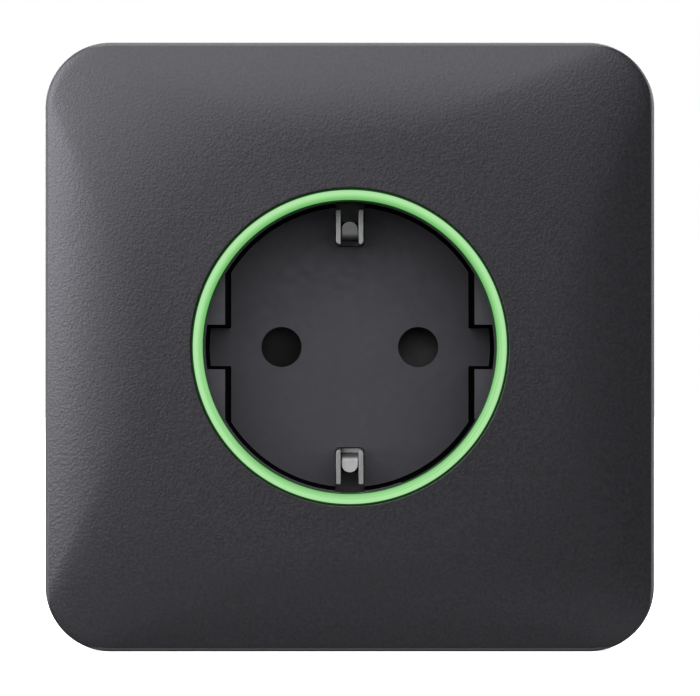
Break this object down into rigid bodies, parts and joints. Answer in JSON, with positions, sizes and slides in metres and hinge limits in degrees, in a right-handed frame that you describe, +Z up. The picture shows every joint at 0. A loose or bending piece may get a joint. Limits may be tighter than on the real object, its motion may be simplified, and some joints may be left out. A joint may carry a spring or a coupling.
{
  "type": "smart wall socket",
  "caption": "Flush-mounted earthed wall socket with a switched outlet, a glowing status ring, shuttered pin holes, sprung earth clips and screwless rear terminals.",
  "frame": {"origin": "centre of the two wall-box screw slots, on the back of the support frame, which is the wall's surface, on the axis of the plug recess", "axes": "-Y out of the wall towards the room, +Z up, +X to the right as seen from the room"},
  "size_m": [0.082, 0.0526, 0.082],
  "materials": {
    "cover": "fine matte texture",
    "ring_light": "frosted light guide",
    "recess": "smooth matte",
    "carrier": "smooth matte",
    "shutter": "smooth matte",
    "housing": "fine matte texture",
    "frame_steel": "zinc plated",
    "screw_steel": "zinc plated",
    "earth_metal": "nickel plated",
    "spring_steel": "bright",
    "contact_brass": "satin",
    "circuit_board": "solder mask",
    "radio_board": "solder mask",
    "shield_can": "tin plated",
    "lamp": "clear",
    "black_parts": "moulded",
    "relay_case": "moulded",
    "transformer": "taped",
    "film_capacitor": "dipped box",
    "capacitor_sleeve": "shrunk sleeve",
    "varistor": "dipped",
    "fuse_body": "smooth",
    "terminal_plastic": "moulded",
    "button_plastic": "moulded"
  },
  "bodies": {
    "socket": {"cover_plate": "cover", "light_ring": "ring_light", "socket_well": "recess", "contact_carrier": "carrier", "module_housing": "housing", "rear_cap": "housing", "support_frame": "frame_steel", "current_shunt": "frame_steel", "frame_screws": "screw_steel", "housing_screws": "screw_steel", "carrier_screws": "screw_steel", "earth_strap": "earth_metal", "shutter_spring": "spring_steel", "live_contact": "contact_brass", "neutral_contact": "contact_brass", "live_clamp": "contact_brass", "earth_clamp": "contact_brass", "neutral_clamp": "contact_brass", "antenna": "contact_brass", "ring_board": "circuit_board", "power_board": "circuit_board", "radio_module": "radio_board", "radio_shield": "shield_can", "ring_lamps": "lamp", "power_chips": "black_parts", "board_link": "black_parts", "relay": "relay_case", "transformer": "transformer", "film_capacitor": "film_capacitor", "electrolytic_capacitors": "capacitor_sleeve", "varistor": "varistor", "fuse": "fuse_body", "terminal_block": "terminal_plastic"},
    "shutter": {"shutter": "shutter"},
    "upper_tongue": {"earth_tongue_upper": "earth_metal"},
    "lower_tongue": {"earth_tongue_lower": "earth_metal"},
    "live_button": {"live_button": "button_plastic"},
    "live_spring": {"live_clamp_spring": "spring_steel"},
    "earth_button": {"earth_button": "button_plastic"},
    "earth_spring": {"earth_clamp_spring": "spring_steel"},
    "neutral_button": {"neutral_button": "button_plastic"},
    "neutral_spring": {"neutral_clamp_spring": "spring_steel"}
  },
  "joints": [
    {"name": "shutter_turn", "type": "hinge", "parent": "socket", "child": "shutter", "pos_m": [0, 0.0122, 0], "axis": [0, 1, 0], "range_deg": [0, 40], "stiffness_Nm_per_rad": 0.0005, "springref_deg": -11.46, "deforming": ["shutter_spring"]},
    {"name": "upper_tongue_flex", "type": "hinge", "parent": "socket", "child": "upper_tongue", "pos_m": [0, 0.01105, 0.0151], "axis": [-1, 0, 0], "range_deg": [0, 5], "stiffness_Nm_per_rad": 0.5, "springref_deg": -1.15},
    {"name": "lower_tongue_flex", "type": "hinge", "parent": "socket", "child": "lower_tongue", "pos_m": [0, 0.01105, -0.0151], "axis": [1, 0, 0], "range_deg": [0, 5], "stiffness_Nm_per_rad": 0.5, "springref_deg": -1.15},
    {"name": "live_button_press", "type": "slide", "parent": "socket", "child": "live_button", "axis": [0, -1, 0], "range_m": [0, 0.0012], "stiffness_N_per_m": 2000, "springref_m": -0.0002},
    {"name": "live_spring_swing", "type": "hinge", "parent": "socket", "child": "live_spring", "pos_m": [-0.0115, 0.0332, 0.0055], "axis": [-1, 0, 0], "range_deg": [0, 14.6], "stiffness_Nm_per_rad": 0.02, "springref_deg": -1.15},
    {"name": "earth_button_press", "type": "slide", "parent": "socket", "child": "earth_button", "axis": [0, -1, 0], "range_m": [0, 0.0012], "stiffness_N_per_m": 2000, "springref_m": -0.0002},
    {"name": "earth_spring_swing", "type": "hinge", "parent": "socket", "child": "earth_spring", "pos_m": [0, 0.0332, 0.0055], "axis": [-1, 0, 0], "range_deg": [0, 14.6], "stiffness_Nm_per_rad": 0.02, "springref_deg": -1.15},
    {"name": "neutral_button_press", "type": "slide", "parent": "socket", "child": "neutral_button", "axis": [0, -1, 0], "range_m": [0, 0.0012], "stiffness_N_per_m": 2000, "springref_m": -0.0002},
    {"name": "neutral_spring_swing", "type": "hinge", "parent": "socket", "child": "neutral_spring", "pos_m": [0.0115, 0.0332, 0.0055], "axis": [-1, 0, 0], "range_deg": [0, 14.6], "stiffness_Nm_per_rad": 0.02, "springref_deg": -1.15}
  ],
  "couplings": [
    {"joint": "live_spring_swing", "follows": "live_button_press", "rad_per_m": 212},
    {"joint": "earth_spring_swing", "follows": "earth_button_press", "rad_per_m": 212},
    {"joint": "neutral_spring_swing", "follows": "neutral_button_press", "rad_per_m": 212}
  ]
}
